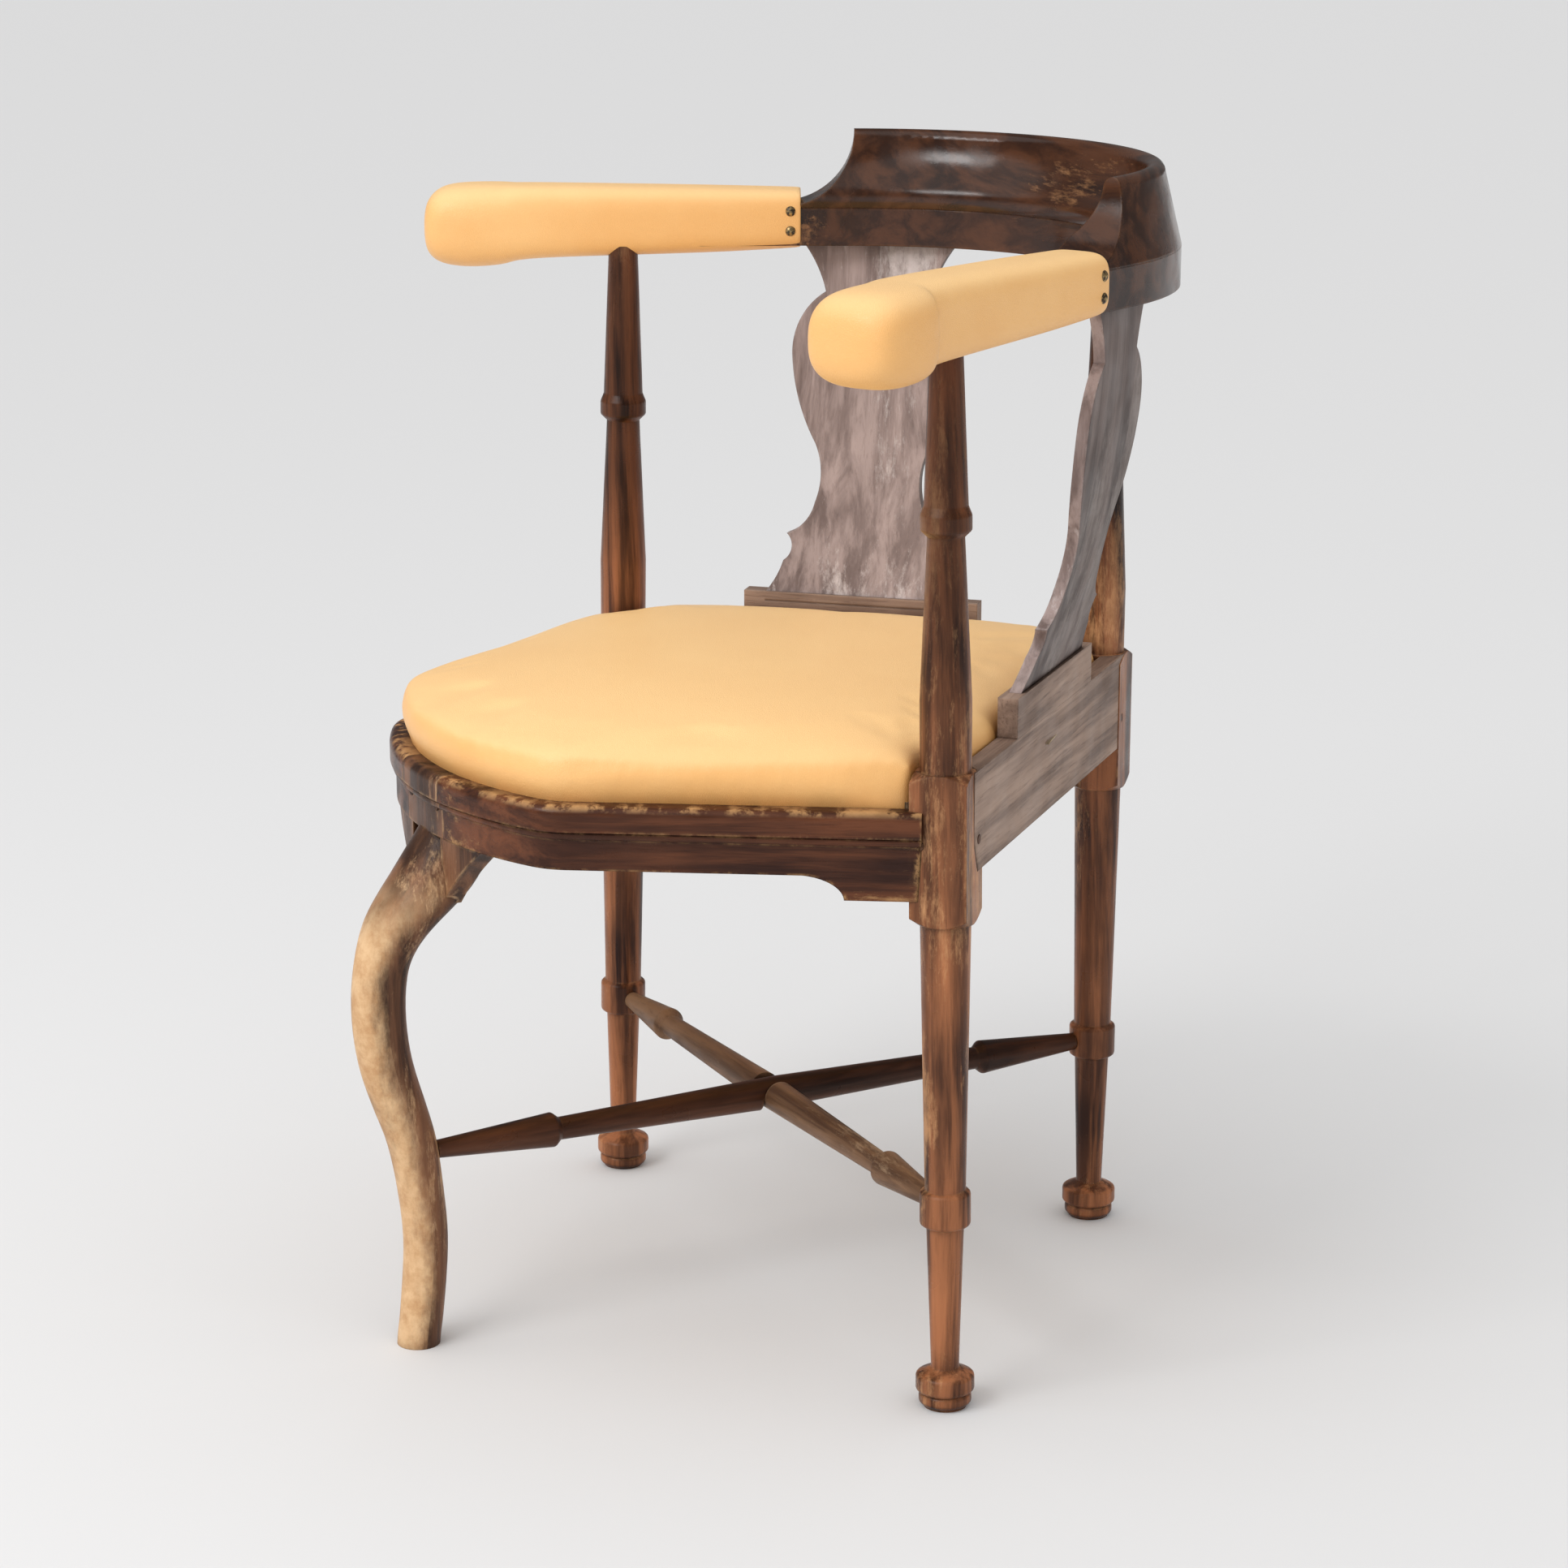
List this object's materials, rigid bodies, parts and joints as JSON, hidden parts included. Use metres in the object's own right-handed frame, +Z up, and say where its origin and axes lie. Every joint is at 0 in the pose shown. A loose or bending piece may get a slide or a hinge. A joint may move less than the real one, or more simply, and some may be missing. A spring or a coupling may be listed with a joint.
{
  "type": "corner chair",
  "caption": "Corner chair: drop-in leather seat set cornerwise, turned posts, cabriole front leg, crossed stretchers, vase splats, padded horseshoe arms and raised crest.",
  "frame": {"origin": "on the floor, under the middle of the whole outline", "axes": "+Z up, -Y where the sitter faces, towards the cabriole leg, +X the sitter's left"},
  "size_m": [0.6928, 0.6052, 0.793],
  "materials": {
    "dark_wood": "worn wax polish",
    "raw_wood": "unfinished",
    "tan_leather": "soft satin",
    "wadding": "cotton felt",
    "webbing": "woven jute",
    "hessian": "coarse weave",
    "nails": "darkened",
    "steel": "dull"
  },
  "bodies": {
    "frame": {"left_post": "dark_wood", "right_post": "dark_wood", "back_post": "dark_wood", "front_left_rail": "dark_wood", "front_right_rail": "dark_wood", "back_left_rail": "dark_wood", "back_right_rail": "dark_wood", "long_stretcher": "dark_wood", "cross_stretcher": "dark_wood", "left_knee_bracket": "dark_wood", "right_knee_bracket": "dark_wood", "front_leg": "dark_wood", "left_splat": "dark_wood", "right_splat": "dark_wood", "left_shoe": "dark_wood", "right_shoe": "dark_wood", "left_arm": "dark_wood", "right_arm": "dark_wood", "crest_rail": "dark_wood", "rail_pegs": "dark_wood", "corner_blocks": "raw_wood", "left_arm_leather": "tan_leather", "right_arm_leather": "tan_leather", "left_arm_wadding": "wadding", "right_arm_wadding": "wadding", "left_arm_nails": "nails", "right_arm_nails": "nails", "crest_screws": "steel"},
    "slip_seat": {"seat_front_left_bar": "raw_wood", "seat_back_left_bar": "raw_wood", "seat_front_right_bar": "raw_wood", "seat_back_right_bar": "raw_wood", "webbing_lower": "webbing", "webbing_upper": "webbing", "hessian": "hessian", "seat_padding": "wadding", "seat_cover": "tan_leather", "seat_tacks": "steel"}
  },
  "joints": [
    {"name": "seat_lift", "type": "slide", "parent": "frame", "child": "slip_seat", "axis": [0, 0, 1], "range_m": [0, 0.12]}
  ]
}
